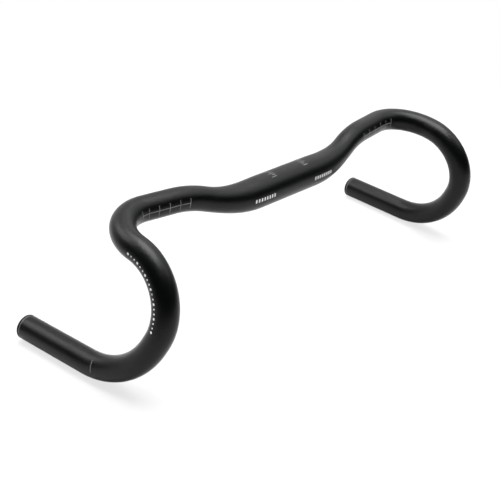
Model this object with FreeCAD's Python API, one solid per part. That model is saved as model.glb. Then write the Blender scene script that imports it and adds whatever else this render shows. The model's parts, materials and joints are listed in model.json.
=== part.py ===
import FreeCAD, Part
import math
import os
from collections import namedtuple

# Drop handlebar with a riser and flared drops: one bent, butted aluminium tube, a push-in plug in
# each end, and the printed marks as thin layers of ink on the tube.
# Frame: the origin is the middle of the stem clamp zone, on its axis. +X runs along the bar, -Y points
# to the front (the way the hooks reach), +Z is up. The straight ends of the drops are level.
# Everything is built on the +X side and mirrored to the -X side. Millimetres and degrees.

# ---- tube
CLAMP_DIAMETER = 31.8
CLAMP_LENGTH = 80.0
CLAMP_WALL = 2.2
GRIP_DIAMETER = 23.8
GRIP_WALL = 1.7

# ---- bends: widths are between centre lines, heights and depths are of the centre line
WIDTH_AT_HOODS = 447.5
RISER_START_SHARE = 0.2      # where the riser starts, as a share of the way from clamp zone to hood
RISER_END_SHARE = 0.4625     # where the riser ends, on the same share
RISER_HEIGHT = 15.5
RISER_SWEEP = 11.0
TOPS_HEIGHT = 19.0           # at the hood corner
TOPS_SWEEP = 20.5            # at the hood corner, behind the clamp axis
RAMP_FRONT = 92.0            # corner of the ramp and the hook, in front of the clamp axis
RAMP_FALL = 17.5             # fall of the ramp from the hood corner to that corner
DROP = 126.5                 # from the tops at the hood corner down to the straight ends
HOOK_BOTTOM_FRONT = 44.0     # corner of the hook and the straight end, in front of the clamp axis
HOOK_FLARE = 19.75           # how far each hook leans out on its way down
END_FLARE = 7.5              # how far each straight end runs out towards its tip
END_BACK = 86.0              # where the tube ends, behind the clamp axis

RISER_START_RADIUS = 164.0
RISER_END_RADIUS = 129.0
HOOD_CORNER_RADIUS = 43.5
HOOK_RADIUS = 49.5
DROP_RADIUS = 79.5
SHORTEST_RUN = 1.0           # straight tube left between two bends
TAPER_SECTIONS = 13

# ---- end plugs
PLUG_CAP_THICKNESS = 3.0
PLUG_CAP_ROUNDING = 1.2
PLUG_DEPTH = 18.0
PLUG_CORE_GAP = 0.6          # radial, between the core of the plug and the bore
PLUG_WALL = 1.8
PLUG_RIBS = 4
PLUG_RIB_LENGTH = 2.6
PLUG_RIB_PITCH = 4.0
PLUG_FIRST_RIB = 1.6         # from the cap to the first rib

# ---- printed marks
INK = 0.05                   # thickness of the ink
LINE = 0.5                   # width of the printed lines
SCALE_TICKS = 6
SCALE_PITCH = 12.0
SCALE_TICK_LENGTH = 9.4      # round the tube
SCALE_SHIFT = 1.0            # from the middle of the straight tops outwards
SCALE_CLOCK = 1.5            # degrees above the front of the tube
DOTS = 19
DOT_PITCH = 4.3
DOT_START = 1.3              # from the start of the hook's bend
DOT_LARGE_EVERY = 3
LARGE_DOT_DIAMETER = 2.3
SMALL_DOT_DIAMETER = 1.5
DOT_TURN = 9.0               # degrees from the outboard side of the hook towards its inside
TRIM_MARK_BEFORE_END = 15.5  # from the trim mark to the end of the lower bend
TRIM_MARK_FROM = -12.0       # degrees from the outboard side of the drop towards its inside
TRIM_MARK_TO = 43.0
STEM_MARK_START = 20.5       # from the middle of the bar
STEM_MARK_LENGTH = 7.0
STEM_MARK_SHORT = 4.0       # every second mark
STEM_MARKS = 5
STEM_MARK_CLOCK = 65.0       # degrees of the first mark above the front of the bar
STEM_MARK_STEP = 9.0
STEM_MARK_LINE = 0.4
BADGE_START = 31.0           # from the middle of the bar
BADGE_BARS = 8
BADGE_BAR_WIDTH = 1.6
BADGE_BAR_HEIGHT = 3.6
BADGE_BAR_PITCH = 3.6

V = FreeCAD.Vector
ACROSS = V(1, 0, 0)
FRONT = V(0, -1, 0)

clamp_radius = CLAMP_DIAMETER / 2
grip_radius = GRIP_DIAMETER / 2
clamp_half = CLAMP_LENGTH / 2
grip_bore = grip_radius - GRIP_WALL
clamp_bore = clamp_radius - CLAMP_WALL

# A straight run has centre None; a bend turns about centre and axis.
Segment = namedtuple("Segment", "start end point direction front centre axis radius")


def bar_corners():
    """Corner points of the centre line on the +X side, from the middle of the bar to its end."""
    hood = WIDTH_AT_HOODS / 2
    free = hood - clamp_half
    level = TOPS_HEIGHT - DROP
    return [
        V(0, 0, 0),
        V(clamp_half + RISER_START_SHARE * free, 0, 0),
        V(clamp_half + RISER_END_SHARE * free, RISER_SWEEP, RISER_HEIGHT),
        V(hood, TOPS_SWEEP, TOPS_HEIGHT),
        V(hood, -RAMP_FRONT, TOPS_HEIGHT - RAMP_FALL),
        V(hood + HOOK_FLARE, -HOOK_BOTTOM_FRONT, level),
        V(hood + HOOK_FLARE + END_FLARE, END_BACK, level),
    ]


def tangent_lengths(points, radii):
    """Straight length that each bend takes from the runs beside it."""
    lengths = []
    for before, corner, after, radius in zip(points, points[1:], points[2:], radii):
        turn = (corner - before).getAngle(after - corner)
        lengths.append(radius * math.tan(turn / 2))
    return lengths


def bend_radii(points, wanted):
    """The wanted radii, each made smaller only where the runs beside the bend are too short for it."""
    tangents = [0.0] + tangent_lengths(points, wanted) + [0.0]
    fit = []
    for number, (a, b) in enumerate(zip(points, points[1:])):
        kept = clamp_half if number == 0 else 0.0
        room = (b - a).Length - kept - SHORTEST_RUN
        fit.append(min(1.0, room / (tangents[number] + tangents[number + 1])))
    return [radius * min(pair) for radius, pair in zip(wanted, zip(fit, fit[1:]))]


def turned(vector, axis, degrees):
    return FreeCAD.Rotation(axis, degrees).multVec(vector)


def centre_line(points, radii):
    """Segments of the centre line: straight runs joined by tangent arcs. front is carried along."""
    segments = []
    tangents = tangent_lengths(points, radii) + [0.0]
    place, here, front = 0.0, points[0], FRONT
    for number, (a, b) in enumerate(zip(points, points[1:])):
        direction = (b - a).normalize()
        run = (b - here).Length - tangents[number]
        segments.append(Segment(place, place + run, here, direction, front, None, None, None))
        place += run
        here = here + direction * run
        if number < len(radii):
            radius = radii[number]
            after = (points[number + 2] - b).normalize()
            axis = direction.cross(after).normalize()
            turn = direction.getAngle(after)
            centre = here + axis.cross(direction) * radius
            segments.append(
                Segment(place, place + radius * turn, here, direction, front, centre, axis, radius)
            )
            place += radius * turn
            here = centre + turned(here - centre, axis, math.degrees(turn))
            front = turned(front, axis, math.degrees(turn))
    return segments


corners = bar_corners()
wanted_radii = [RISER_START_RADIUS, RISER_END_RADIUS, HOOD_CORNER_RADIUS, HOOK_RADIUS, DROP_RADIUS]
radii = bend_radii(corners, wanted_radii)
line = centre_line(corners, radii)
riser_bend, tops, hook_bend, drop_bend, drop_run = line[1], line[4], line[7], line[9], line[10]
grip = line[2:]              # everything past the first bend has the grip's diameter


def station(segment, place):
    """Point, direction and front of the centre line at a place along one of its segments."""
    travel = place - segment.start
    if segment.centre is None:
        return segment.point + segment.direction * travel, segment.direction, segment.front
    turn = math.degrees(travel / segment.radius)
    point = segment.centre + turned(segment.point - segment.centre, segment.axis, turn)
    return point, turned(segment.direction, segment.axis, turn), turned(segment.front, segment.axis, turn)


def segment_at(place):
    """The segment of the grip that holds a place."""
    return next(segment for segment in grip if place <= segment.end)


def axis_turn(bend):
    """Turn, from the front carried along, at which the axis of a bend points."""
    rise = bend.front.cross(bend.direction)
    return math.degrees(math.atan2(bend.axis.dot(rise), bend.axis.dot(bend.front)))


def carried(face, segment, start, end):
    """Solid that a face at start leaves when it is carried along the segment to end."""
    if segment.centre is None:
        return face.extrude(segment.direction * (end - start))
    return face.revolve(segment.centre, segment.axis, math.degrees((end - start) / segment.radius))


def circle(segment, place, radius):
    """Circle across the centre line, started at the carried front so that sections line up."""
    point, direction, front = station(segment, place)
    spots = [point + side * radius for side in (front, front.cross(direction), -front)]
    return Part.Wire(Part.Circle(*spots).toShape())


def ring(segment, inner, outer):
    """Tube of one section along a whole segment."""
    face = Part.makeFace(
        [circle(segment, segment.start, outer), circle(segment, segment.start, inner)],
        "Part::FaceMakerBullseye",
    )
    return carried(face, segment, segment.start, segment.end)


def taper_radius(place, from_radius, to_radius):
    """Radius along the swaged part: level at both ends, steepest half way (smoothstep)."""
    share = (place - clamp_half) / (riser_bend.end - clamp_half)
    return from_radius + (to_radius - from_radius) * share * share * (3 - 2 * share)


def taper(from_radius, to_radius):
    """Swaged part, from the clamp zone to the end of the first bend."""
    step = (riser_bend.end - clamp_half) / (TAPER_SECTIONS - 1)
    sections = []
    for number in range(TAPER_SECTIONS):
        place = clamp_half + number * step
        segment = line[0] if place < riser_bend.start else riser_bend
        place = min(place, riser_bend.end)
        sections.append(circle(segment, place, taper_radius(place, from_radius, to_radius)))
    return Part.makeLoft(sections, True, False)


def mirrored(shape):
    return shape.mirror(V(0, 0, 0), ACROSS)


def bar_tube():
    """The whole bar: straight clamp zone, and on each side the taper and the bent grip."""
    half = [taper(clamp_radius, grip_radius).cut(taper(clamp_bore, grip_bore))]
    half += [ring(segment, grip_bore, grip_radius) for segment in grip]
    start = V(-clamp_half, 0, 0)
    clamp = Part.makeCylinder(clamp_radius, CLAMP_LENGTH, start, ACROSS)
    clamp = clamp.cut(Part.makeCylinder(clamp_bore, CLAMP_LENGTH, start, ACROSS))
    tube = clamp.multiFuse(half + [mirrored(piece) for piece in half])
    return tube.removeSplitter()


def end_plug():
    """Push-in plug: rounded cap against the tube's end, hollow core, ribs that grip the bore."""
    end, direction, side = station(drop_run, drop_run.end)
    core = grip_bore - PLUG_CORE_GAP
    cap_edge = PLUG_CAP_THICKNESS - PLUG_CAP_ROUNDING
    slope = PLUG_CAP_ROUNDING * (1 - math.sqrt(0.5))
    profile = [(PLUG_CAP_THICKNESS, 0), (PLUG_CAP_THICKNESS, grip_radius - PLUG_CAP_ROUNDING)]
    outline = [(cap_edge, grip_radius), (0, grip_radius), (0, core)]
    for number in range(PLUG_RIBS):
        back = -PLUG_FIRST_RIB - number * PLUG_RIB_PITCH
        outline += [(back, core), (back, grip_bore), (back - PLUG_RIB_LENGTH, core)]
    outline += [(-PLUG_DEPTH, core), (-PLUG_DEPTH, core - PLUG_WALL), (0, core - PLUG_WALL), (0, 0), profile[0]]

    def spot(pair):
        return end + direction * pair[0] + side * pair[1]

    edges = [Part.LineSegment(spot(profile[0]), spot(profile[1])).toShape()]
    middle = (PLUG_CAP_THICKNESS - slope, grip_radius - slope)
    edges.append(Part.Arc(spot(profile[1]), spot(middle), spot(outline[0])).toShape())
    edges += [Part.LineSegment(spot(a), spot(b)).toShape() for a, b in zip(outline, outline[1:])]
    return Part.Face(Part.Wire(edges)).revolve(end, direction, 360)


def patch(segment, start, end, from_turn, to_turn, radius):
    """Layer of ink on the tube from start to end, between two turns about the centre line.

    Turns start at the front carried along and grow over the top of the bar. In a bend they grow from
    the bend's axis towards its inside.
    """
    point, direction, front = station(segment, start)
    rise = front.cross(direction)

    def spot(reach, turn):
        return point + (front * math.cos(math.radians(turn)) + rise * math.sin(math.radians(turn))) * reach

    middle_turn = (from_turn + to_turn) / 2
    over = Part.Arc(*[spot(radius + INK, turn) for turn in (from_turn, middle_turn, to_turn)])
    under = Part.Arc(*[spot(radius, turn) for turn in (to_turn, middle_turn, from_turn)])
    sides = [
        Part.LineSegment(spot(radius + INK, to_turn), spot(radius, to_turn)),
        Part.LineSegment(spot(radius, from_turn), spot(radius + INK, from_turn)),
    ]
    wire = Part.Wire([over.toShape(), sides[0].toShape(), under.toShape(), sides[1].toShape()])
    return carried(Part.Face(wire), segment, start, end)


def strip(start, end, from_turn, to_turn):
    """Ink between two places on the grip, split where the centre line's segments meet."""
    pieces = []
    for segment in grip:
        low = max(start, segment.start)
        high = min(end, segment.end)
        if high > low:
            pieces.append(patch(segment, low, high, from_turn, to_turn, grip_radius))
    return pieces


def united(pieces):
    """One solid out of pieces that meet."""
    if len(pieces) == 1:
        return pieces[0]
    return pieces[0].multiFuse(pieces[1:]).removeSplitter()


def tops_scale():
    """Line along the front of the tops, crossed by evenly spaced ticks."""
    length = (SCALE_TICKS - 1) * SCALE_PITCH
    first = (tops.start + tops.end) / 2 + SCALE_SHIFT - length / 2
    half_line = math.degrees(LINE / 2 / grip_radius)
    half_tick = math.degrees(SCALE_TICK_LENGTH / 2 / grip_radius)
    pieces = strip(first, first + length, SCALE_CLOCK - half_line, SCALE_CLOCK + half_line)
    for number in range(SCALE_TICKS):
        place = first + number * SCALE_PITCH
        pieces += strip(place - LINE / 2, place + LINE / 2, SCALE_CLOCK - half_tick, SCALE_CLOCK + half_tick)
    return united(pieces)


def drop_dots():
    """Row of dots down the outboard side of the hook, every third one larger."""
    turn = axis_turn(hook_bend) + DOT_TURN
    dots = []
    for number in range(DOTS):
        large = number % DOT_LARGE_EVERY == 0
        radius = (LARGE_DOT_DIAMETER if large else SMALL_DOT_DIAMETER) / 2
        place = hook_bend.start + DOT_START + number * DOT_PITCH
        point, direction, front = station(segment_at(place), place)
        margin = 1.5 * radius
        reach = math.degrees(margin / grip_radius)
        skin = united(strip(place - margin, place + margin, turn - reach, turn + reach))
        outward = turned(front, direction, -turn)
        dots.append(skin.common(Part.makeCylinder(radius, GRIP_DIAMETER, point, outward)))
    return Part.makeCompound(dots)


def trim_mark():
    """Short line round the drop, where the lower bend runs out into the straight end."""
    place = drop_bend.end - TRIM_MARK_BEFORE_END
    side = axis_turn(drop_bend)
    return united(strip(place - LINE / 2, place + LINE / 2, side + TRIM_MARK_FROM, side + TRIM_MARK_TO))


def stem_marks():
    """Short lines along the clamp zone, one above the other, to set the bar's angle in the stem."""
    half_line = math.degrees(STEM_MARK_LINE / 2 / clamp_radius)
    marks = []
    for number in range(STEM_MARKS):
        length = STEM_MARK_SHORT if number % 2 else STEM_MARK_LENGTH
        clock = STEM_MARK_CLOCK + number * STEM_MARK_STEP
        ends = (STEM_MARK_START, STEM_MARK_START + length)
        marks.append(patch(line[0], *ends, clock - half_line, clock + half_line, clamp_radius))
    return Part.makeCompound(marks)


def front_badge():
    """Plain badge on the front of the bar, partly on the taper: a row of upright bars."""
    over = Part.makeCylinder(clamp_radius + INK, clamp_half, V(0, 0, 0), ACROSS)
    under = Part.makeCylinder(clamp_radius, clamp_half, V(0, 0, 0), ACROSS)
    skin = over.cut(under)
    skin = skin.fuse(taper(clamp_radius + INK, grip_radius + INK).cut(taper(clamp_radius, grip_radius)))
    bars = []
    for number in range(BADGE_BARS):
        corner = V(BADGE_START + number * BADGE_BAR_PITCH, -CLAMP_DIAMETER, -BADGE_BAR_HEIGHT / 2)
        block = Part.makeBox(BADGE_BAR_WIDTH, CLAMP_DIAMETER, BADGE_BAR_HEIGHT, corner)
        bars.append(skin.common(block))
    return Part.makeCompound(bars)


def write(name, shape):
    shape.exportStep("parts/" + name + ".step")


os.makedirs("parts", exist_ok=True)
write("bar_tube", bar_tube())
# The +X side is on the rider's left.
SIDE_PIECES = {
    "end_plug": end_plug,
    "tops_scale": tops_scale,
    "drop_dots": drop_dots,
    "trim_mark": trim_mark,
    "stem_marks": stem_marks,
    "front_badge": front_badge,
}
for name, make in SIDE_PIECES.items():
    piece = make()
    write("left_" + name, piece)
    write("right_" + name, mirrored(piece))
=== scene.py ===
import json
import math
from collections import namedtuple

import bmesh
import bpy
import numpy as np
from bpy.props import FloatProperty, FloatVectorProperty, IntProperty, PointerProperty
from bpy.types import Operator, Panel, PropertyGroup
from mathutils import Matrix, Vector


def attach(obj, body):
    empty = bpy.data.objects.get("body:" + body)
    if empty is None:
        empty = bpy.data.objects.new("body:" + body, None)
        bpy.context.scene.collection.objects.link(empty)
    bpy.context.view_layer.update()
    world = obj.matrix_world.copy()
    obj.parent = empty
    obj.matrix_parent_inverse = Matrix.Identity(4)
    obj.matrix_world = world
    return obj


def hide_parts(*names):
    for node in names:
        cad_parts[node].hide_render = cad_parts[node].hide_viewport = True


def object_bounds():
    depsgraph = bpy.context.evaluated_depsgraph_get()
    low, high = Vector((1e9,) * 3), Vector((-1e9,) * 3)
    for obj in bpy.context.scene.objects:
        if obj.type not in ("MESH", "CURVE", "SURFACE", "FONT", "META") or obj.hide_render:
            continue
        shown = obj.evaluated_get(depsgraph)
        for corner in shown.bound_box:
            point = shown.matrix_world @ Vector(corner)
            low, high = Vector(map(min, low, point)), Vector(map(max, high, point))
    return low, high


bl_info = {
    "name": "Drop handlebar",
    "version": (1, 0, 0),
    "blender": (4, 5, 0),
    "location": "View3D > Sidebar > Handlebar",
    "description": "Bent aluminium tube with end plugs and printed marks, on a pale studio floor",
    "category": "Object",
}

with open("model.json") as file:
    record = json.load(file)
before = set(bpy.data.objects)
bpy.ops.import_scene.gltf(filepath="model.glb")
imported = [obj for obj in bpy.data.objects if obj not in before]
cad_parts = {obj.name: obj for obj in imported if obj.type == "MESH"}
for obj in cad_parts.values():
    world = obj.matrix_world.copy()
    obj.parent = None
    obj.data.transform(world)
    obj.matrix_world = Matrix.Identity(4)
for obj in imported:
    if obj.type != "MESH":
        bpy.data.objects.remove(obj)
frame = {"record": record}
cad_low, cad_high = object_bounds()
mount_sizes = {mount["name"]: mount["dims"] for mount in frame["record"]["mounts"]}

BODY = "root"
MM = 0.001
STEM = mount_sizes["stem_clamp"]
GRIP = mount_sizes["left_drop_grip"]
SHARP_EDGE = math.radians(35)


# ---- sizes and colours that a user would change

def length(name, description, default):
    return FloatProperty(name=name, description=description, default=default, unit="LENGTH",
                         subtype="DISTANCE", precision=5)


def angle(name, description, degrees):
    return FloatProperty(name=name, description=description, default=math.radians(degrees),
                         unit="ROTATION", subtype="ANGLE")


def count(name, description, default):
    return IntProperty(name=name, description=description, default=default, min=1)


def colour(name, description, default):
    return FloatVectorProperty(name=name, description=description, default=default, size=4,
                               subtype="COLOR", min=0.0, max=1.0)


def amount(name, description, default):
    return FloatProperty(name=name, description=description, default=default, min=0.0)


class TubeSizes(PropertyGroup):
    clamp_radius: length("Clamp radius", "Outside radius where the stem holds the bar", STEM["r_mm"] * MM)
    clamp_length: length("Clamp length", "Straight full-size length in the middle", STEM["length_mm"] * MM)
    clamp_wall: length("Clamp wall", "Wall of the tube in the middle", 2.2 * MM)
    grip_radius: length("Grip radius", "Outside radius of the tops and drops", GRIP["r_mm"] * MM)
    grip_wall: length("Grip wall", "Wall of the tube along the grips", 1.7 * MM)
    width: length("Width at hoods", "Between centre lines at the hoods", 447.5 * MM)
    riser_start_share: amount("Riser start", "Share of the way from clamp zone to hood", 0.2)
    riser_end_share: amount("Riser end", "Share of the way from clamp zone to hood", 0.4625)
    riser_height: length("Riser height", "Rise of the centre line over the riser", 15.5 * MM)
    riser_sweep: length("Riser sweep", "How far the riser runs back", 11.0 * MM)
    tops_height: length("Tops height", "Height of the hood corner above the clamp axis", 19.0 * MM)
    tops_sweep: length("Tops sweep", "How far the hood corner lies behind the clamp axis", 20.5 * MM)
    ramp_front: length("Ramp front", "Corner of the ramp and the hook, in front of the clamp axis", 92.0 * MM)
    ramp_fall: length("Ramp fall", "Fall of the ramp to that corner", 17.5 * MM)
    drop: length("Drop", "From the tops at the hood corner down to the straight ends", 126.5 * MM)
    hook_front: length("Hook bottom front", "Corner of the hook and the straight end", 44.0 * MM)
    hook_flare: length("Hook flare", "How far each hook leans out on its way down", 19.75 * MM)
    end_flare: length("End flare", "How far each straight end runs out", 7.5 * MM)
    end_back: length("End back", "Where the tube ends, behind the clamp axis", 86.0 * MM)
    riser_start_radius: length("Riser start radius", "Bend at the foot of the riser", 164.0 * MM)
    riser_end_radius: length("Riser end radius", "Bend at the head of the riser", 129.0 * MM)
    hood_radius: length("Hood corner radius", "Bend at the hood corner", 43.5 * MM)
    hook_radius: length("Hook radius", "Bend of the hook", 49.5 * MM)
    drop_radius: length("Drop radius", "Bend that runs out into the straight end", 79.5 * MM)
    bevel_length: length("End bevel length", "Rounded edge at each end, along the tube", 0.6 * MM)
    bevel_depth: length("End bevel depth", "Rounded edge at each end, into the wall", 0.3 * MM)


class PlugSizes(PropertyGroup):
    cap: length("Cap", "Thickness of the cap outside the tube", 3.0 * MM)
    rounding: length("Rounding", "Rounded outer edge of the cap", 1.2 * MM)
    seam: length("Seam", "Small round on the cap's inner edge", 0.25 * MM)
    dish: length("Dish", "Depth of the shallow dish in the cap's face", 0.5 * MM)
    dish_share: amount("Dish share", "Radius of the dish as a share of the cap's radius", 0.72)
    depth: length("Depth", "How far the core reaches into the tube", 18.0 * MM)
    core_gap: length("Core gap", "Between the core and the bore", 0.6 * MM)
    wall: length("Wall", "Wall of the hollow core", 1.8 * MM)
    ribs: count("Ribs", "Ribs that grip the bore", 4)
    rib_length: length("Rib length", "Length of one rib", 2.6 * MM)
    rib_pitch: length("Rib pitch", "From rib to rib", 4.0 * MM)
    first_rib: length("First rib", "From the cap to the first rib", 1.6 * MM)


class PrintSizes(PropertyGroup):
    ink: length("Ink", "Thickness of the ink", 0.05 * MM)
    line: length("Line", "Width of the printed lines", 0.5 * MM)
    scale_ticks: count("Scale ticks", "Ticks across the scale on each top", 6)
    scale_pitch: length("Scale pitch", "From tick to tick", 12.0 * MM)
    scale_tick: length("Tick length", "Length of a tick round the tube", 9.4 * MM)
    scale_shift: length("Scale shift", "From the middle of the straight top outwards", 1.0 * MM)
    scale_clock: angle("Scale clock", "Above the front of the tube", 1.5)
    dots: count("Dots", "Dots down each hook", 19)
    dot_pitch: length("Dot pitch", "From dot to dot", 4.3 * MM)
    dot_start: length("First dot", "From the start of the hook's bend", 1.3 * MM)
    dot_large_every: count("Large every", "One dot in this many is a large one", 3)
    large_dot: length("Large dot", "Diameter", 2.3 * MM)
    small_dot: length("Small dot", "Diameter", 1.5 * MM)
    dot_turn: angle("Dot turn", "From the outboard side of the hook towards its inside", 9.0)
    trim_before_end: length("Trim mark", "From the mark to the end of the lower bend", 15.5 * MM)
    trim_from: angle("Trim from", "From the outboard side of the drop towards its inside", -12.0)
    trim_to: angle("Trim to", "From the outboard side of the drop towards its inside", 43.0)
    stem_marks: count("Stem marks", "Short lines at each side of the stem", 5)
    stem_start: length("Stem mark start", "From the middle of the bar", 20.5 * MM)
    stem_long: length("Stem mark", "Length of every other mark", 7.0 * MM)
    stem_short: length("Short stem mark", "Length of the marks between", 4.0 * MM)
    stem_clock: angle("Stem mark clock", "First mark above the front of the bar", 65.0)
    stem_step: angle("Stem mark step", "From mark to mark round the bar", 9.0)
    stem_line: length("Stem mark line", "Width of a stem mark", 0.4 * MM)
    badge_start: length("Badge start", "From the middle of the bar", 31.0 * MM)
    badge_bars: count("Badge bars", "Upright bars in a row", 8)
    badge_width: length("Bar width", "Width of one bar", 1.6 * MM)
    badge_height: length("Bar height", "Height of one bar", 3.6 * MM)
    badge_pitch: length("Bar pitch", "From bar to bar", 3.6 * MM)


class Finishes(PropertyGroup):
    anodised: colour("Anodised", "Satin black anodising of the tube", (0.0017, 0.0020, 0.0021, 1.0))
    anodised_roughness: amount("Anodised roughness", "Roughness of the blasted surface", 0.29)
    # Bare metal of the bevelled ends, made light enough to paint a highlight line round each end
    bare_and_highlit_edge: colour("Edge", "Bare metal of the tube's bevelled ends", (0.34, 0.35, 0.36, 1.0))
    plug: colour("Plug", "Moulded plastic of the plugs", (0.0033, 0.0033, 0.0035, 1.0))
    grey_ink: colour("Grey ink", "Scale, trim mark and stem marks", (0.24, 0.25, 0.25, 1.0))
    white_ink: colour("White ink", "Dots and badge", (0.96, 0.96, 0.95, 1.0))
    dust: colour("Dust", "Fine dust caught by the rough surfaces", (0.06, 0.06, 0.059, 1.0))


class StageSizes(PropertyGroup):
    azimuth: angle("Azimuth", "Camera round the bar, from straight in front", -50.44)
    elevation: angle("Elevation", "Camera above the horizon", 27.45)
    roll: angle("Roll", "Camera about its own axis", 4.80)
    distance: length("Distance", "Camera from the middle of the bar, along its axis", 1.02216)
    slide_right: length("Slide right", "Middle of the bar to the right of the camera's axis", 33.57 * MM)
    slide_up: length("Slide up", "Middle of the bar above the camera's axis", 68.38 * MM)
    lens: FloatProperty(name="Lens", description="Focal length in mm on a 36 mm sensor", default=73.845)
    floor_radius: length("Floor", "Radius of the round paper floor", 0.95)
    floor_fade: length("Fade", "Where the floor starts to fade out", 0.45)
    floor_opacity: amount("Opacity", "Opacity of the milky floor sheet", 0.75)
    floor_seen: amount("Opacity seen", "Share of that opacity that the camera sees, for faint shadows", 0.35)
    paper: colour("Paper", "Pale floor", (0.66, 0.66, 0.66, 1.0))


# ---- centre line of the bar

# A straight run has centre None; a bend turns about centre and axis. front is the side that faces
# forwards in the middle of the bar, carried along without twist.
Segment = namedtuple("Segment", "start end point direction front centre axis radius")
MIRROR = np.array([-1.0, 1.0, 1.0])


def unit(vector):
    return vector / np.linalg.norm(vector)


def turned(vector, axis, turn):
    """Vector turned about a unit axis: the part along the axis stays and the rest goes round by turn."""
    turn = np.asarray(turn)[..., None]
    along = axis * (vector @ axis)
    return along + (vector - along) * np.cos(turn) + np.cross(axis, vector) * np.sin(turn)


def centre_line(tube):
    """Left half of the centre line, from the middle to the end.

    It runs through corners given by the bar's sizes. Each inner corner is cut by an arc that starts and
    ends radius * tan(turn / 2) before and after the corner, so that runs and arcs meet without a kink.
    """
    hood = tube.width / 2
    clamp_half = tube.clamp_length / 2
    free = hood - clamp_half
    level = tube.tops_height - tube.drop
    corners = np.array([
        (0, 0, 0),
        (clamp_half + tube.riser_start_share * free, 0, 0),
        (clamp_half + tube.riser_end_share * free, tube.riser_sweep, tube.riser_height),
        (hood, tube.tops_sweep, tube.tops_height),
        (hood, -tube.ramp_front, tube.tops_height - tube.ramp_fall),
        (hood + tube.hook_flare, -tube.hook_front, level),
        (hood + tube.hook_flare + tube.end_flare, tube.end_back, level),
    ])
    radii = [tube.riser_start_radius, tube.riser_end_radius, tube.hood_radius, tube.hook_radius,
             tube.drop_radius]
    ways = [unit(step) for step in np.diff(corners, axis=0)]
    turns = [math.acos(a @ b) for a, b in zip(ways, ways[1:])]
    cuts = [radius * math.tan(turn / 2) for radius, turn in zip(radii, turns)] + [0.0]
    segments = []
    place, here, front = 0.0, corners[0], np.array([0.0, -1.0, 0.0])
    for number, way in enumerate(ways):
        run = np.linalg.norm(corners[number + 1] - here) - cuts[number]
        segments.append(Segment(place, place + run, here, way, front, None, None, None))
        place, here = place + run, here + way * run
        if number < len(radii):
            radius, turn = radii[number], turns[number]
            axis = unit(np.cross(way, ways[number + 1]))
            centre = here + np.cross(axis, way) * radius
            segments.append(Segment(place, place + radius * turn, here, way, front, centre, axis, radius))
            place, here = place + radius * turn, centre + turned(here - centre, axis, turn)
            front = turned(front, axis, turn)
    return segments


def bends(line):
    return [segment for segment in line if segment.centre is not None]


def stations(line, place):
    """Points, directions and front sides of the centre line at signed distances from its middle.

    Along a run the point moves in a straight line; along a bend all three turn about the bend's axis by
    distance / radius. A negative place is the mirror image of the positive one.
    """
    reach = np.abs(place)
    number = np.searchsorted([segment.start for segment in line], reach, side="right") - 1
    point, direction, front = (np.empty(reach.shape + (3,)) for _ in range(3))
    for index, segment in enumerate(line):
        here = number == index
        travel = reach[here] - segment.start
        if segment.centre is None:
            point[here] = segment.point + travel[..., None] * segment.direction
            direction[here], front[here] = segment.direction, segment.front
        else:
            turn = travel / segment.radius
            point[here] = segment.centre + turned(segment.point - segment.centre, segment.axis, turn)
            direction[here] = turned(segment.direction, segment.axis, turn)
            front[here] = turned(segment.front, segment.axis, turn)
    flip = np.where(place[..., None] < 0, MIRROR, 1.0)
    along = np.where(place[..., None] < 0, -1.0, 1.0)
    return point * flip, direction * flip * along, front * flip


def swaged(line, tube, place, middle, grip):
    """Radius at a place: middle in the clamp zone, grip past the first bend, and between them a
    smoothstep, 3 t^2 - 2 t^3, which is level at both ends."""
    clamp_half = tube.clamp_length / 2
    share = np.clip((np.abs(place) - clamp_half) / (bends(line)[0].end - clamp_half), 0, 1)
    return middle + (grip - middle) * share * share * (3 - 2 * share)


def skin_radius(line, tube, place):
    return swaged(line, tube, place, tube.clamp_radius, tube.grip_radius)


def bore_radius(line, tube, place):
    return swaged(line, tube, place, tube.clamp_radius - tube.clamp_wall, tube.grip_radius - tube.grip_wall)


def round_the_line(line, place, turn, reach):
    """Point beside the centre line: station(place) + reach * (front * cos(turn) + up * sin(turn))."""
    point, direction, front = stations(line, place)
    up = np.cross(front, direction)
    return point + reach[..., None] * (front * np.cos(turn)[..., None] + up * np.sin(turn)[..., None])


def clock_of(segment, vector):
    """Turn, from the front side, at which a vector across the line points at a segment's start."""
    up = np.cross(segment.front, segment.direction)
    return math.atan2(vector @ up, vector @ segment.front)


# ---- meshes

def make_piece(name, points, quads, material, node, uv=None):
    """Mesh object from an array of points and an array of quads.

    The signed volume tells which way the quads face: if it is negative, they are turned outwards.
    """
    a, b, c, d = (points[quads[:, k]] for k in range(4))
    volume = np.einsum("ij,ij->", a, np.cross(b, c)) + np.einsum("ij,ij->", a, np.cross(c, d))
    if volume < 0:
        quads = quads[:, ::-1]
        uv = None if uv is None else uv[:, ::-1]
    mesh = bpy.data.meshes.new(name)
    mesh.from_pydata(points, [], quads)
    if uv is not None:
        mesh.uv_layers.new(name="Along").data.foreach_set("uv", uv.astype(np.float32).ravel())
    mesh.polygons.foreach_set("use_smooth", np.ones(len(mesh.polygons), bool))
    mesh.set_sharp_from_angle(angle=SHARP_EDGE)
    mesh.materials.append(material)
    mesh.validate()
    piece = bpy.data.objects.new(name, mesh)
    bpy.context.scene.collection.objects.link(piece)
    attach(piece, BODY)
    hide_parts(node)
    return piece


def ring_quads(rows, columns):
    """Quads and their corner row and column numbers, for a grid that closes on itself both ways."""
    row, column = np.meshgrid(np.arange(rows), np.arange(columns), indexing="ij")
    corners = [(row, column), (row, column + 1), (row + 1, column + 1), (row + 1, column)]
    quads = np.stack([(r % rows) * columns + c % columns for r, c in corners], axis=-1).reshape(-1, 4)
    numbers = np.stack([np.stack(pair, axis=-1) for pair in corners], axis=-2).reshape(-1, 4, 2)
    return quads, numbers


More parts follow.
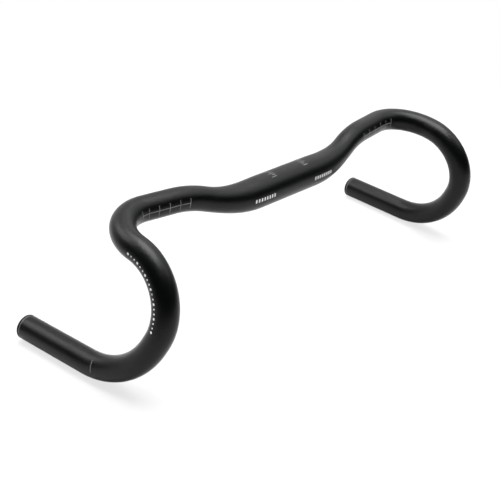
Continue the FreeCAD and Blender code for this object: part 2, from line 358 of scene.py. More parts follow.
def ink_shell(line, tube, place, turn, filled, ink):
    """Closed shell of ink over the filled cells of a grid of places and turns on the bar's skin.

    Two copies of the grid are made, one on the skin and one an ink's thickness above it. Each filled
    cell gives a quad on both, and each cell side with ink on one side only gives a wall between them.
    """
    radius = skin_radius(line, tube, place)
    under = round_the_line(line, place, turn, radius).reshape(-1, 3)
    over = round_the_line(line, place, turn, radius + ink).reshape(-1, 3)
    rows, columns = place.shape
    number = np.arange(rows * columns).reshape(rows, columns)
    lift = rows * columns
    r, c = np.nonzero(filled)
    cells = np.stack([number[r, c], number[r + 1, c], number[r + 1, c + 1], number[r, c + 1]], axis=-1)
    faces = [cells + lift, cells[:, ::-1]]
    padded = np.pad(filled, 1)
    steps = np.diff(padded.astype(int), axis=0)[:, 1:-1]
    for rise in (1, -1):
        r, c = np.nonzero(steps == rise)
        a, b = number[r, c], number[r, c + 1]
        wall = np.stack([a, a + lift, b + lift, b], axis=-1)
        faces.append(wall[:, ::rise])
    steps = np.diff(padded.astype(int), axis=1)[1:-1, :]
    for rise in (1, -1):
        r, c = np.nonzero(steps == rise)
        a, b = number[r, c], number[r + 1, c]
        wall = np.stack([a, b, b + lift, a + lift], axis=-1)
        faces.append(wall[:, ::rise])
    quads = np.concatenate(faces)
    used, quads = np.unique(quads, return_inverse=True)
    return np.concatenate([under, over])[used], quads.reshape(-1, 4)


def joined(shells):
    """Several (points, quads) as one."""
    offsets = np.cumsum([0] + [len(points) for points, _ in shells[:-1]])
    points = np.concatenate([points for points, _ in shells])
    return points, np.concatenate([quads + offset for (_, quads), offset in zip(shells, offsets)])


# ---- node groups and materials

# Noise has a detail in octaves, and a roughness that is each octave's share of the one before.
ROUGH_NOISE = 0.6
GRAIN_DETAIL = 3.0
FINER_SCALE = 2.3              # second size of pits, as a multiple of the first one's scale
FINER_DETAIL = 1.0
FINE_SHARE = 0.65
FINER_SHARE = 0.35
MOTTLE_SCALE = 0.3             # clouding, as a multiple of the grain's scale
LINES_SCALE = 900.0
SPECK_CELLS = 420.0
SPECK_EDGE = (0.03, 0.10)      # distance from a cell's middle over which a speck fades
SPECK_CHOICE = (0.86, 0.90)    # the few cells that hold a speck
FILM_SCALE = 35.0
FILM_DETAIL = 5.0
FILM_EDGE = (0.45, 0.8)
FILM_SHARE = 0.25
SPECULAR = 0.2                 # of the anodised skin and the plugs

ANODISED_GRAIN = 2600.0
ANODISED_STRETCH = 60.0
ANODISED_DUST = 0.05
TINT_SPREAD = 0.5              # the mottle's part in how dark the anodising is
TINT_LEAST = 0.75
ROUGH_SPREAD = 0.06            # the lines' and the mottle's part in the roughness, each
LINES_RELIEF = 0.35
MOTTLE_RELIEF = 40.0
ANODISED_DEPTH = 0.006 * MM

PLUG_GRAIN = 1700.0
PLUG_DUST = 0.16
PLUG_ROUGHNESS = 0.50
PLUG_ROUGH_SPREAD = 0.12
PLUG_DEPTH = 0.02 * MM

INK_GRAIN = 3000.0
INK_THIN = (0.60, 0.74)        # grain height over which the cover thins
INK_THIN_SHARE = 0.35
INK_THIN_SHADE = 0.55
INK_ROUGHNESS = 0.45
INK_ROUGH_SPREAD = 0.15
INK_DEPTH = 0.008 * MM


def new_group(name, inputs, outputs):
    """Empty shader node group; returns it with its input and output nodes."""
    group = bpy.data.node_groups.new(name, "ShaderNodeTree")
    for label, kind, default in inputs:
        socket = group.interface.new_socket(name=label, in_out="INPUT", socket_type=kind)
        if default is not None:
            socket.default_value = default
    for label, kind in outputs:
        group.interface.new_socket(name=label, in_out="OUTPUT", socket_type=kind)
    return group, group.nodes.new("NodeGroupInput"), group.nodes.new("NodeGroupOutput")


def maths(tree, operation, a, b=None, c=None, clamp=False):
    """Math node on sockets or numbers. MULTIPLY_ADD gives a * b + c."""
    node = tree.nodes.new("ShaderNodeMath")
    node.operation = operation
    node.use_clamp = clamp
    for socket, value in zip(node.inputs, (a, b, c)):
        if isinstance(value, bpy.types.NodeSocket):
            tree.links.new(value, socket)
        elif value is not None:
            socket.default_value = value
    return node.outputs[0]


def noise(tree, vector, scale, detail, roughness=0.5):
    node = tree.nodes.new("ShaderNodeTexNoise")
    node.inputs["Detail"].default_value = detail
    node.inputs["Roughness"].default_value = roughness
    tree.links.new(vector, node.inputs["Vector"])
    if isinstance(scale, bpy.types.NodeSocket):
        tree.links.new(scale, node.inputs["Scale"])
    else:
        node.inputs["Scale"].default_value = scale
    return node.outputs["Fac"]


def ramp(tree, value, low, high):
    """0 below low, 1 above high, smooth between."""
    node = tree.nodes.new("ShaderNodeMapRange")
    node.interpolation_type = "SMOOTHSTEP"
    node.inputs["From Min"].default_value = low
    node.inputs["From Max"].default_value = high
    tree.links.new(value, node.inputs["Value"])
    return node.outputs["Result"]


def blasted_grain():
    """Fine pits of a blasted or moulded surface: two sizes of noise added. Mottle is a broader noise."""
    group, entry, exit_ = new_group(
        "Blasted grain",
        [("Vector", "NodeSocketVector", None), ("Scale", "NodeSocketFloat", 2500.0)],
        [("Height", "NodeSocketFloat"), ("Mottle", "NodeSocketFloat")],
    )
    where, scale = entry.outputs["Vector"], entry.outputs["Scale"]
    fine = noise(group, where, scale, GRAIN_DETAIL, ROUGH_NOISE)
    finer = noise(group, where, maths(group, "MULTIPLY", scale, FINER_SCALE), FINER_DETAIL)
    height = maths(group, "MULTIPLY_ADD", fine, FINE_SHARE, maths(group, "MULTIPLY", finer, FINER_SHARE))
    broad = noise(group, where, maths(group, "MULTIPLY", scale, MOTTLE_SCALE), GRAIN_DETAIL, ROUGH_NOISE)
    group.links.new(height, exit_.inputs["Height"])
    group.links.new(broad, exit_.inputs["Mottle"])
    return group


def drawn_lines():
    """Faint lines left along a tube by drawing: noise on the piece's own map, stretched along it."""
    group, entry, exit_ = new_group(
        "Drawn lines",
        [("Vector", "NodeSocketVector", None), ("Stretch", "NodeSocketFloat", 40.0)],
        [("Lines", "NodeSocketFloat")],
    )
    parts = group.nodes.new("ShaderNodeSeparateXYZ")
    group.links.new(entry.outputs["Vector"], parts.inputs[0])
    squeezed = group.nodes.new("ShaderNodeCombineXYZ")
    along = maths(group, "DIVIDE", parts.outputs["X"], entry.outputs["Stretch"])
    group.links.new(along, squeezed.inputs["X"])
    group.links.new(parts.outputs["Y"], squeezed.inputs["Y"])
    lines = noise(group, squeezed.outputs[0], LINES_SCALE, GRAIN_DETAIL, ROUGH_NOISE)
    group.links.new(lines, exit_.inputs["Lines"])
    return group


def fine_dust():
    """Specks and a thin uneven film: sparse cells of a Voronoi pattern, and a slow noise for the film."""
    group, entry, exit_ = new_group(
        "Fine dust",
        [("Vector", "NodeSocketVector", None), ("Amount", "NodeSocketFloat", 0.3)],
        [("Mask", "NodeSocketFloat")],
    )
    cells = group.nodes.new("ShaderNodeTexVoronoi")
    cells.inputs["Scale"].default_value = SPECK_CELLS
    group.links.new(entry.outputs["Vector"], cells.inputs["Vector"])
    specks = maths(group, "SUBTRACT", 1.0, ramp(group, cells.outputs["Distance"], *SPECK_EDGE))
    parts = group.nodes.new("ShaderNodeSeparateColor")
    group.links.new(cells.outputs["Color"], parts.inputs[0])
    chosen = ramp(group, parts.outputs[0], *SPECK_CHOICE)
    film = noise(group, entry.outputs["Vector"], FILM_SCALE, FILM_DETAIL, ROUGH_NOISE)
    film = maths(group, "MULTIPLY", ramp(group, film, *FILM_EDGE), FILM_SHARE)
    both = maths(group, "ADD", maths(group, "MULTIPLY", specks, chosen), film)
    mask = maths(group, "MULTIPLY", both, entry.outputs["Amount"], clamp=True)
    group.links.new(mask, exit_.inputs["Mask"])
    return group


def place_group(tree, group, vector, **values):
    node = tree.nodes.new("ShaderNodeGroup")
    node.node_tree = group
    tree.links.new(vector, node.inputs["Vector"])
    for label, value in values.items():
        node.inputs[label].default_value = value
    return node


def mixed(tree, share, first, second):
    """Colour between first and second; either may be a plain colour."""
    node = tree.nodes.new("ShaderNodeMix")
    node.data_type = "RGBA"
    tree.links.new(share, node.inputs["Factor"])
    for socket, value in zip((node.inputs[6], node.inputs[7]), (first, second)):
        if isinstance(value, bpy.types.NodeSocket):
            tree.links.new(value, socket)
        else:
            socket.default_value = value
    return node.outputs[2]


def bumped(tree, height, depth):
    node = tree.nodes.new("ShaderNodeBump")
    node.inputs["Strength"].default_value = 1.0
    node.inputs["Distance"].default_value = depth
    tree.links.new(height, node.inputs["Height"])
    return node.outputs["Normal"]


def new_material(name):
    """Material with its default nodes; returns it with its tree, shader and coordinates."""
    material = bpy.data.materials.new(name)
    material.use_nodes = True
    tree = material.node_tree
    shader = tree.nodes["Principled BSDF"]
    return material, tree, shader, tree.nodes.new("ShaderNodeTexCoord")


def anodised_material(finish, groups):
    """Satin black anodising over blasted aluminium: fine grain, faint drawn lines and a little dust.

    The attribute edge is 1 on the tube's bevelled ends, where the metal is bare; its colour there is made
    light enough to paint a highlight line along each end.
    """
    material, tree, shader, where = new_material("Anodised aluminium")
    grain = place_group(tree, groups["grain"], where.outputs["Object"], Scale=ANODISED_GRAIN)
    lines = place_group(tree, groups["lines"], where.outputs["UV"], Stretch=ANODISED_STRETCH)
    dust = place_group(tree, groups["dust"], where.outputs["Object"], Amount=ANODISED_DUST)
    mottle, streak = grain.outputs["Mottle"], lines.outputs["Lines"]
    edge = tree.nodes.new("ShaderNodeAttribute")
    edge.attribute_name = "edge"
    # Bevelled ends: bare metal, with a colour light enough to paint the highlight line along the edge
    bared_and_highlit = mixed(tree, edge.outputs["Fac"], finish.anodised, finish.bare_and_highlit_edge)
    tinted = tree.nodes.new("ShaderNodeVectorMath")
    tinted.operation = "SCALE"
    tree.links.new(bared_and_highlit, tinted.inputs[0])
    tree.links.new(maths(tree, "MULTIPLY_ADD", mottle, TINT_SPREAD, TINT_LEAST), tinted.inputs["Scale"])
    dusty = mixed(tree, dust.outputs["Mask"], tinted.outputs[0], finish.dust)
    tree.links.new(dusty, shader.inputs["Base Color"])
    half = ROUGH_SPREAD / 2
    rough = maths(tree, "MULTIPLY_ADD", streak, ROUGH_SPREAD, finish.anodised_roughness - half)
    rough = maths(tree, "MULTIPLY_ADD", mottle, ROUGH_SPREAD, rough)
    tree.links.new(maths(tree, "SUBTRACT", rough, half), shader.inputs["Roughness"])
    relief = maths(tree, "MULTIPLY_ADD", streak, LINES_RELIEF, grain.outputs["Height"])
    relief = maths(tree, "MULTIPLY_ADD", mottle, MOTTLE_RELIEF, relief)
    tree.links.new(bumped(tree, relief, ANODISED_DEPTH), shader.inputs["Normal"])
    shader.inputs["Specular IOR Level"].default_value = SPECULAR
    return material


def plug_material(finish, groups):
    """Matt black moulded plastic: spark-eroded mould grain and dust."""
    material, tree, shader, where = new_material("Moulded plastic")
    grain = place_group(tree, groups["grain"], where.outputs["Object"], Scale=PLUG_GRAIN)
    dust = place_group(tree, groups["dust"], where.outputs["Object"], Amount=PLUG_DUST)
    dusty = mixed(tree, dust.outputs["Mask"], finish.plug, finish.dust)
    tree.links.new(dusty, shader.inputs["Base Color"])
    rough = maths(tree, "MULTIPLY_ADD", grain.outputs["Mottle"], PLUG_ROUGH_SPREAD, PLUG_ROUGHNESS)
    tree.links.new(rough, shader.inputs["Roughness"])
    tree.links.new(bumped(tree, grain.outputs["Height"], PLUG_DEPTH), shader.inputs["Normal"])
    shader.inputs["Specular IOR Level"].default_value = SPECULAR
    return material


def ink_material(name, shade, groups):
    """Printed ink: slightly uneven cover, a little of the black showing through its thin spots."""
    material, tree, shader, where = new_material(name)
    grain = place_group(tree, groups["grain"], where.outputs["Object"], Scale=INK_GRAIN)
    thin = maths(tree, "MULTIPLY", ramp(tree, grain.outputs["Height"], *INK_THIN), INK_THIN_SHARE)
    darker = [channel * INK_THIN_SHADE for channel in shade[:3]] + [1.0]
    tree.links.new(mixed(tree, thin, shade, darker), shader.inputs["Base Color"])
    rough = maths(tree, "MULTIPLY_ADD", grain.outputs["Mottle"], INK_ROUGH_SPREAD, INK_ROUGHNESS)
    tree.links.new(rough, shader.inputs["Roughness"])
    tree.links.new(bumped(tree, grain.outputs["Height"], INK_DEPTH), shader.inputs["Normal"])
    return material


def finishes():
    """Materials by name, made once."""
    names = ("Anodised aluminium", "Moulded plastic", "Grey ink", "White ink")
    if not all(name in bpy.data.materials for name in names):
        finish = bpy.context.scene.bar_finishes
        groups = {"grain": blasted_grain(), "lines": drawn_lines(), "dust": fine_dust()}
        anodised_material(finish, groups)
        plug_material(finish, groups)
        ink_material("Grey ink", list(finish.grey_ink), groups)
        ink_material("White ink", list(finish.white_ink), groups)
    return {name: bpy.data.materials[name] for name in names}


# ---- pieces

AROUND = 96                    # points round the tube and the plugs
SKIN_STEP = 2.2 * MM           # along the outside of the tube
BORE_STEP = 5.0 * MM           # along its inside
ROUND_STEPS = 5                # points on a small rounded edge
DISH_STEPS = 7                 # points on the slope of a plug's dish
DISH_SLOPE = 1.6               # length of that slope, as a multiple of the dish's depth
RIB_CREST = 0.25 * MM          # flat top of a plug's rib
TICK_GAP_STEPS = 13            # places from one tick of a scale to the next
TICK_STEPS = 8                 # turns on each half of a tick
DOT_STEPS = 11                 # places and turns on a dot
TRIM_STEPS = 24                # turns on a trim mark
STEM_MARK_STEPS = 3            # places on a stem mark
BADGE_STEPS = (4, 9)           # places and turns on a bar of the badge
SIDES = {"left": 1, "right": -1}


def steps_along(line, ends, step):
    """Places from one end of the bar to the other, each segment cut evenly into steps of at most that."""
    half = []
    for segment in line:
        stop = min(segment.end, ends)
        pieces = max(1, math.ceil((stop - segment.start) / step))
        half.append(np.linspace(segment.start, stop, pieces, endpoint=False))
    half = np.concatenate(half)
    return np.concatenate([[-ends], -half[:0:-1], half, [ends]])


def quarter(steps):
    return np.linspace(0, math.pi / 2, steps)


def make_tube(name, node):
    """The bar's skin, its bore and its two end rings, as one surface closed both ways.

    A loop of (place, radius) runs along the skin, over the bevelled end, back through the bore and
    over the other end. It is carried once round the centre line. A bevel is a quarter of an ellipse,
    length * sin(b) along the tube and depth * (1 - cos(b)) into the wall.
    """
    tube = bpy.context.scene.bar_tube
    line = centre_line(tube)
    end = line[-1].end
    skin = steps_along(line, end - tube.bevel_length, SKIN_STEP)
    bore = steps_along(line, end - tube.bevel_length, BORE_STEP)
    bend = quarter(ROUND_STEPS)[1:]
    tip_outer = end - tube.bevel_length * (1 - np.sin(bend))
    tip_inner = tip_outer[::-1]
    outer = tube.grip_radius - tube.bevel_depth * (1 - np.cos(bend))
    inner = tube.grip_radius - tube.grip_wall + tube.bevel_depth * (1 - np.cos(bend))[::-1]
    place = np.concatenate([skin, tip_outer, tip_inner, bore[::-1], -tip_outer, -tip_inner])
    radius = np.concatenate([
        skin_radius(line, tube, skin), outer, inner, bore_radius(line, tube, bore[::-1]),
        inner[::-1], outer[::-1],
    ])
    turn = np.arange(AROUND) * 2 * math.pi / AROUND
    place_grid, turn_grid = np.meshgrid(place, turn, indexing="ij")
    radius_grid = np.broadcast_to(radius[:, None], place_grid.shape)
    points = round_the_line(line, place_grid, turn_grid, radius_grid).reshape(-1, 3)
    quads, numbers = ring_quads(len(place), AROUND)
    loop_place = np.append(place, place[0])
    around = numbers[..., 1] * 2 * math.pi * tube.grip_radius / AROUND
    uv = np.stack([loop_place[numbers[..., 0]], around], axis=-1)
    material = finishes()["Anodised aluminium"]
    piece = make_piece(name, points, quads, material, node, uv)
    # edge is 1 on the bevels, whose light colour is bare metal and a painted highlight line
    edge = np.zeros(len(place))
    edge[len(skin):len(skin) + len(tip_outer)] = 1.0
    edge[-len(tip_outer):] = 1.0
    shades = np.repeat(edge, AROUND)
    piece.data.attributes.new("edge", "FLOAT", "POINT").data.foreach_set("value", shades.astype(np.float32))
    return piece


def plug_profile(tube, plug):
    """Half section of a plug as (distance past the tube's end, radius), from the middle of its face.

    Face with a shallow dish, rounded rim, small round on the seam, ribbed core, hollow inside.
    """
    cap_radius = tube.grip_radius
    bore = tube.grip_radius - tube.grip_wall
    core = bore - plug.core_gap
    bend = quarter(ROUND_STEPS)
    dish_radius = plug.dish_share * cap_radius
    slope = plug.dish * DISH_SLOPE
    rise = np.linspace(0, 1, DISH_STEPS)
    dish = np.stack([
        plug.cap - plug.dish * (1 - rise * rise * (3 - 2 * rise)),
        dish_radius + slope * rise,
    ], axis=-1)
    rim = np.stack([
        plug.cap - plug.rounding * (1 - np.cos(bend)),
        cap_radius - plug.rounding * (1 - np.sin(bend)),
    ], axis=-1)
    seam = np.stack([plug.seam * (1 - np.sin(bend)), cap_radius - plug.seam * (1 - np.cos(bend))], axis=-1)
    parts = [[(plug.cap - plug.dish, 0.0)], dish, rim, seam, [(0.0, core)]]
    for number in range(plug.ribs):
        back = -plug.first_rib - number * plug.rib_pitch
        parts.append([(back, core), (back, bore), (back - RIB_CREST, bore), (back - plug.rib_length, core)])
    parts.append([(-plug.depth, core), (-plug.depth, core - plug.wall), (-plug.wall / 2, core - plug.wall),
                  (-plug.wall / 2, 0.0)])
    return np.concatenate([np.asarray(part, float) for part in parts])


def make_plug(name, node, side):
    """A plug: its half section turned once round the end of the bar, its two poles closed to a point."""
    tube = bpy.context.scene.bar_tube
    line = centre_line(tube)
    profile = plug_profile(tube, bpy.context.scene.bar_plug)
    point, direction, front = (row[0] for row in stations(line, np.array([side * line[-1].end])))
    outward = direction * side
    up = np.cross(front, direction)
    turn = np.arange(AROUND) * 2 * math.pi / AROUND
    across = front * np.cos(turn)[:, None] + up * np.sin(turn)[:, None]
    points = point + profile[:, None, :1] * outward + profile[:, None, 1:] * across
    rows = len(profile)
    quads = ring_quads(rows, AROUND)[0][:(rows - 1) * AROUND]
    points = points.reshape(-1, 3)
    piece = make_piece(name, points, quads, finishes()["Moulded plastic"], node)
    close_poles(piece.data)
    return piece


def close_poles(mesh):
    """Merges the points that lie on a pole, so that quads there become triangles."""
    shape = bmesh.new()
    shape.from_mesh(mesh)
    bmesh.ops.remove_doubles(shape, verts=shape.verts, dist=0.001 * MM)
    bmesh.ops.recalc_face_normals(shape, faces=shape.faces)
    shape.to_mesh(mesh)
    shape.free()


def even_grid(places, turns):
    """Grid of places and turns, all of its cells filled."""
    place, turn = np.meshgrid(places, turns, indexing="ij")
    return place, turn, np.ones((len(places) - 1, len(turns) - 1), bool)


def scale_shells(line, tube, sizes, side):
    """Scale: a line along the top crossed by ticks. Its grid has a row of cells at each edge of a tick
    and of the line, and a cell is filled if it lies in a tick or in the line."""
    tops = line[4]
    reach = (sizes.scale_ticks - 1) * sizes.scale_pitch
    first = (tops.start + tops.end) / 2 + sizes.scale_shift - reach / 2
    half = sizes.line / 2
    ticks = first + np.arange(sizes.scale_ticks) * sizes.scale_pitch
    gaps = [np.linspace(a + half, b - half, TICK_GAP_STEPS) for a, b in zip(ticks, ticks[1:])]
    places = np.concatenate([[ticks[0] - half]] + gaps + [[ticks[-1] + half]])
    half_line = half / tube.grip_radius
    half_tick = sizes.scale_tick / 2 / tube.grip_radius
    wing = np.linspace(half_line, half_tick, TICK_STEPS)
    turns = np.concatenate([-wing[::-1], wing])
    place, turn, _ = even_grid(places, turns)
    middle = (places[1:] + places[:-1]) / 2
    in_tick = np.min(np.abs(middle[:, None] - ticks), axis=1) < half
    in_line = np.abs((turns[1:] + turns[:-1]) / 2) < half_line
    filled = in_tick[:, None] | in_line[None, :]
    return [ink_shell(line, tube, side * place, turn + sizes.scale_clock, filled, sizes.ink)]


def dot_shells(line, tube, sizes, side):
    """Dots: each is a square grid pressed into a disc, x = u sqrt(1 - v^2 / 2) and y = v sqrt(1 - u^2 / 2).

    x is stretched by radius / (radius - offset), because the dots lie on the inner side of the bend,
    where the skin is shorter than the centre line."""
    hook = bends(line)[3]
    clock = clock_of(hook, hook.axis) + sizes.dot_turn
    across = np.linspace(-1, 1, DOT_STEPS)
    u, v = np.meshgrid(across, across, indexing="ij")
    x, y = u * np.sqrt(1 - v * v / 2), v * np.sqrt(1 - u * u / 2)
    stretch = hook.radius / (hook.radius - tube.grip_radius * math.sin(sizes.dot_turn))
    filled = np.ones((u.shape[0] - 1, u.shape[1] - 1), bool)
    shells = []
    for number in range(sizes.dots):
        size = (sizes.small_dot if number % sizes.dot_large_every else sizes.large_dot) / 2
        place = hook.start + sizes.dot_start + number * sizes.dot_pitch + x * size * stretch
        turn = clock + y * size / tube.grip_radius
        shells.append(ink_shell(line, tube, side * place, turn, filled, sizes.ink))
    return shells


def trim_shells(line, tube, sizes, side):
    """Trim mark: a strip across the drop."""
    drop = bends(line)[4]
    clock = clock_of(drop, drop.axis)
    middle = drop.end - sizes.trim_before_end
    places = middle + np.array([-0.5, 0.5]) * sizes.line
    turns = clock + np.linspace(sizes.trim_from, sizes.trim_to, TRIM_STEPS)
    place, turn, filled = even_grid(places, turns)
    return [ink_shell(line, tube, side * place, turn, filled, sizes.ink)]


def stem_shells(line, tube, sizes, side):
    """Stem marks: short strips along the clamp zone, one above the other."""
    shells = []
    for number in range(sizes.stem_marks):
        stop = sizes.stem_start + (sizes.stem_short if number % 2 else sizes.stem_long)
        clock = sizes.stem_clock + number * sizes.stem_step
        half = sizes.stem_line / 2 / tube.clamp_radius
        places = np.linspace(sizes.stem_start, stop, STEM_MARK_STEPS)
        place, turn, filled = even_grid(places, clock + np.array([-half, 0, half]))
        shells.append(ink_shell(line, tube, side * place, turn, filled, sizes.ink))
    return shells


def badge_shells(line, tube, sizes, side):
    """Badge: upright bars on the front of the tube. A point at height z has the turn asin(z / radius),
    with z taken from the centre line's own height there."""
    columns, rows = BADGE_STEPS
    along, up = np.meshgrid(np.linspace(0, 1, columns), np.linspace(-0.5, 0.5, rows), indexing="ij")
    filled = np.ones((along.shape[0] - 1, along.shape[1] - 1), bool)
    height = up * sizes.badge_height
    shells = []
    for number in range(sizes.badge_bars):
        start = sizes.badge_start + number * sizes.badge_pitch
        place = start + along * sizes.badge_width
        line_height = stations(line, place)[0][..., 2]
        turn = np.arcsin((height - line_height) / skin_radius(line, tube, place))
        shells.append(ink_shell(line, tube, side * place, turn, filled, sizes.ink))
    return shells


def make_print(name, node, shells, material, side):
    """One kind of print on one side, all of its shells in one piece."""
    scene = bpy.context.scene
    line = centre_line(scene.bar_tube)
    points, quads = joined(shells(line, scene.bar_tube, scene.bar_print, side))
    return make_piece(name, points, quads, finishes()[material], node)


GREY_PRINTS = (("scale_print", "tops_scale", scale_shells), ("trim_print", "trim_mark", trim_shells),
               ("stem_print", "stem_marks", stem_shells))
WHITE_PRINTS = (("dot_print", "drop_dots", dot_shells), ("badge_print", "front_badge", badge_shells))


def make_prints(prints, material):
    """Each kind of print on both sides. A kind is the end of its piece's name, of its node's name, and
    the function that gives its shells."""
    for side, sign in SIDES.items():
        for piece, node, shells in prints:
            make_print(side + "_" + piece, side + "_" + node, shells, material, sign)


# ---- stage: azimuths and elevations are in degrees, distances and sizes in metres

SoftBox = namedtuple("SoftBox", "name azimuth elevation distance width height radiance")
SOFT_BOXES = [
    SoftBox("overhead_box", 20, 84, 2.2, 2.0, 1.8, 10.8),
    SoftBox("left_box", 118, 42, 2.2, 1.4, 1.0, 4.9),
    SoftBox("back_box", 5, 38, 2.4, 2.4, 1.1, 1.05),
    SoftBox("right_box", 322, 44, 2.3, 1.1, 1.2, 2.1),
]
WALL_AZIMUTH = 60.0
WALL_EDGE = (-0.1, 0.9)        # cosine from the wall's middle over which it brightens
WALL_RADIANCE = 0.85
ROOM_RADIANCE = 0.004
FLOOR_RINGS = 8
FADE_END = 0.99                # of the floor's radius
PAPER_ROUGHNESS = 0.9
PAPER_SPECULAR = 0.1
SENSOR_WIDTH = 36.0            # in millimetres


def way_to(azimuth, elevation):
    """Unit vector at degrees round from +X towards +Y, and degrees above the horizon."""
    across, rise = math.radians(azimuth), math.radians(elevation)
    return Vector((math.cos(across) * math.cos(rise), math.sin(across) * math.cos(rise), math.sin(rise)))


def add_soft_box(box):
    """Rectangular light that faces the bar's middle. Its power gives the radiance that is asked for."""
    data = bpy.data.lights.new(box.name, "AREA")
    data.shape = "RECTANGLE"
    data.size, data.size_y = box.width, box.height
    data.energy = box.radiance * math.pi * box.width * box.height
    light = bpy.data.objects.new(box.name, data)
    way = way_to(box.azimuth, box.elevation)
    turn = (-way).to_track_quat("-Z", "Y").to_matrix().to_4x4()
    light.matrix_world = Matrix.Translation(way * box.distance) @ turn
    light.visible_camera = False
    bpy.context.scene.collection.objects.link(light)


def make_floor(stage):
    """Round milky sheet that the drops rest on, faded out towards its rim.

    The disc is a fan with rings round it. Its opacity is even inside the fade's start and falls to 0
    at the rim, and the camera sees only a share of it, so that shadows on it look faint.
    """
    turn = np.arange(AROUND) * 2 * math.pi / AROUND
    rings = np.linspace(0, stage.floor_radius, FLOOR_RINGS + 1)[1:]
    points = rings[:, None, None] * np.stack([np.cos(turn), np.sin(turn), np.zeros(AROUND)], axis=-1)
    points = np.concatenate([np.zeros((1, 3)), points.reshape(-1, 3)]) + (0, 0, cad_low.z)
    quads = ring_quads(len(rings), AROUND)[0][:(len(rings) - 1) * AROUND] + 1
    number = np.arange(AROUND)
    fan = np.stack([np.zeros(AROUND, int), 1 + number, 1 + (number + 1) % AROUND], axis=-1)
    mesh = bpy.data.meshes.new("studio_floor")
    mesh.from_pydata(points, [], fan.tolist() + quads[:, ::-1].tolist())
    material, tree, shader, where = new_material("Paper")
    shader.inputs["Base Color"].default_value = stage.paper
    shader.inputs["Roughness"].default_value = PAPER_ROUGHNESS
    shader.inputs["Specular IOR Level"].default_value = PAPER_SPECULAR
    reach = tree.nodes.new("ShaderNodeVectorMath")
    reach.operation = "LENGTH"
    flat = tree.nodes.new("ShaderNodeMapping")
    flat.inputs["Scale"].default_value = (1.0, 1.0, 0.0)
    tree.links.new(where.outputs["Object"], flat.inputs["Vector"])
    tree.links.new(flat.outputs["Vector"], reach.inputs[0])
    faded = ramp(tree, reach.outputs["Value"], stage.floor_fade, stage.floor_radius * FADE_END)
    cover = maths(tree, "MULTIPLY", maths(tree, "SUBTRACT", 1.0, faded), stage.floor_opacity)
    seen = tree.nodes.new("ShaderNodeLightPath")
    thinner = maths(tree, "MULTIPLY_ADD", seen.outputs["Is Camera Ray"], stage.floor_seen - 1.0, 1.0)
    tree.links.new(maths(tree, "MULTIPLY", cover, thinner), shader.inputs["Alpha"])
    mesh.materials.append(material)
    floor = bpy.data.objects.new("studio_floor", mesh)
    bpy.context.scene.collection.objects.link(floor)


def make_world():
    """Dark room in front of the bar, a paler wall behind it, and plain paper white where the camera
    looks past the floor."""
    world = bpy.data.worlds.new("Studio")
    bpy.context.scene.world = world
    world.use_nodes = True
    tree = world.node_tree
    room = tree.nodes["Background"]
    room.inputs["Color"].default_value = (1.0, 1.0, 1.0, 1.0)
    where = tree.nodes.new("ShaderNodeTexCoord")
    facing = tree.nodes.new("ShaderNodeVectorMath")
    facing.operation = "DOT_PRODUCT"
    tree.links.new(where.outputs["Generated"], facing.inputs[0])
    facing.inputs[1].default_value = way_to(WALL_AZIMUTH, 0.0)
    wall = ramp(tree, facing.outputs["Value"], *WALL_EDGE)
    lit = maths(tree, "MULTIPLY_ADD", wall, WALL_RADIANCE, ROOM_RADIANCE)
    tree.links.new(lit, room.inputs["Strength"])
    paper = tree.nodes.new("ShaderNodeBackground")
    paper.inputs["Color"].default_value = (1.0, 1.0, 1.0, 1.0)
    seen = tree.nodes.new("ShaderNodeLightPath")
    choice = tree.nodes.new("ShaderNodeMixShader")
    tree.links.new(seen.outputs["Is Camera Ray"], choice.inputs["Fac"])
    tree.links.new(room.outputs[0], choice.inputs[1])
    tree.links.new(paper.outputs[0], choice.inputs[2])
    tree.links.new(choice.outputs[0], tree.nodes["World Output"].inputs["Surface"])


def make_camera(stage):
    """Camera at an azimuth and elevation, rolled about its axis, with the bar's middle off its axis."""
    across, rise = stage.azimuth, stage.elevation
    back = Vector((math.sin(across) * math.cos(rise), -math.cos(across) * math.cos(rise), math.sin(rise)))
    level = Vector((math.cos(across), math.sin(across), 0.0))
    upright = back.cross(level)
    right = level * math.cos(stage.roll) + upright * math.sin(stage.roll)
    up = upright * math.cos(stage.roll) - level * math.sin(stage.roll)
    data = bpy.data.cameras.new("Camera")
    data.lens = stage.lens
    data.sensor_width = SENSOR_WIDTH
    camera = bpy.data.objects.new("Camera", data)
    turn = Matrix((right, up, back)).transposed().to_4x4()
    spot = back * stage.distance - right * stage.slide_right - up * stage.slide_up
    camera.matrix_world = Matrix.Translation(spot) @ turn
    bpy.context.scene.collection.objects.link(camera)
    bpy.context.scene.camera = camera


# ---- operators

class HANDLEBAR_OT_tube(Operator):
    """Make the bent tube"""
    bl_idname = "handlebar.tube"
    bl_label = "Tube"

    def execute(self, context):
        make_tube("bent_tube", "bar_tube")
        return {"FINISHED"}


class HANDLEBAR_OT_plugs(Operator):
    """Make the plug in each end of the tube"""
    bl_idname = "handlebar.plugs"
    bl_label = "End plugs"

    def execute(self, context):
        for side, sign in SIDES.items():
            make_plug(side + "_plug", side + "_end_plug", sign)
        return {"FINISHED"}


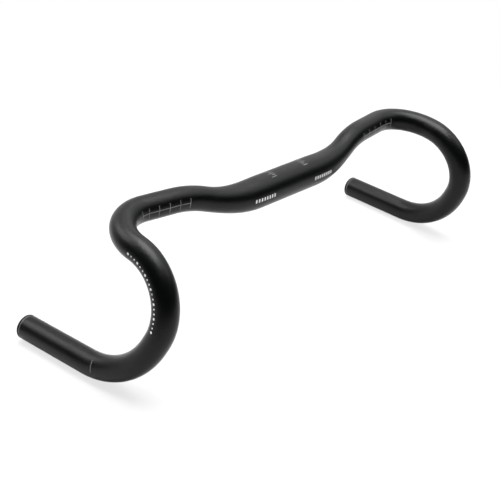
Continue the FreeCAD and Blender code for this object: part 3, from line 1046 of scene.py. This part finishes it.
class HANDLEBAR_OT_grey_print(Operator):
    """Make the grey printed marks: scales, trim marks and stem marks"""
    bl_idname = "handlebar.grey_print"
    bl_label = "Grey print"

    def execute(self, context):
        make_prints(GREY_PRINTS, "Grey ink")
        return {"FINISHED"}


class HANDLEBAR_OT_white_print(Operator):
    """Make the white printed marks: rows of dots and badges"""
    bl_idname = "handlebar.white_print"
    bl_label = "White print"

    def execute(self, context):
        make_prints(WHITE_PRINTS, "White ink")
        return {"FINISHED"}


class HANDLEBAR_OT_stage(Operator):
    """Make the floor, the lights and the camera"""
    bl_idname = "handlebar.stage"
    bl_label = "Stage"

    def execute(self, context):
        stage = context.scene.bar_stage
        make_floor(stage)
        for box in SOFT_BOXES:
            add_soft_box(box)
        make_world()
        make_camera(stage)
        context.scene.view_settings.view_transform = "Standard"
        return {"FINISHED"}


OPERATORS = (HANDLEBAR_OT_tube, HANDLEBAR_OT_plugs, HANDLEBAR_OT_grey_print, HANDLEBAR_OT_white_print,
             HANDLEBAR_OT_stage)
GROUPS = {"bar_tube": TubeSizes, "bar_plug": PlugSizes, "bar_print": PrintSizes, "bar_finishes": Finishes,
          "bar_stage": StageSizes}


class HANDLEBAR_PT_panel(Panel):
    """Lists the operators in the sidebar"""
    bl_idname = "HANDLEBAR_PT_panel"
    bl_label = "Drop handlebar"
    bl_space_type = "VIEW_3D"
    bl_region_type = "UI"
    bl_category = "Handlebar"

    def draw(self, context):
        for operator in OPERATORS:
            self.layout.operator(operator.bl_idname)


CLASSES = tuple(GROUPS.values()) + OPERATORS + (HANDLEBAR_PT_panel,)


def register():
    for made in CLASSES:
        bpy.utils.register_class(made)
    for name, group in GROUPS.items():
        setattr(bpy.types.Scene, name, PointerProperty(type=group))


def unregister():
    for name in GROUPS:
        delattr(bpy.types.Scene, name)
    for made in reversed(CLASSES):
        bpy.utils.unregister_class(made)


def main():
    register()
    bpy.ops.handlebar.tube()
    bpy.ops.handlebar.plugs()
    bpy.ops.handlebar.grey_print()
    bpy.ops.handlebar.white_print()
    bpy.ops.handlebar.stage()
    bpy.context.view_layer.update()


if __name__ == "__main__":
    main()
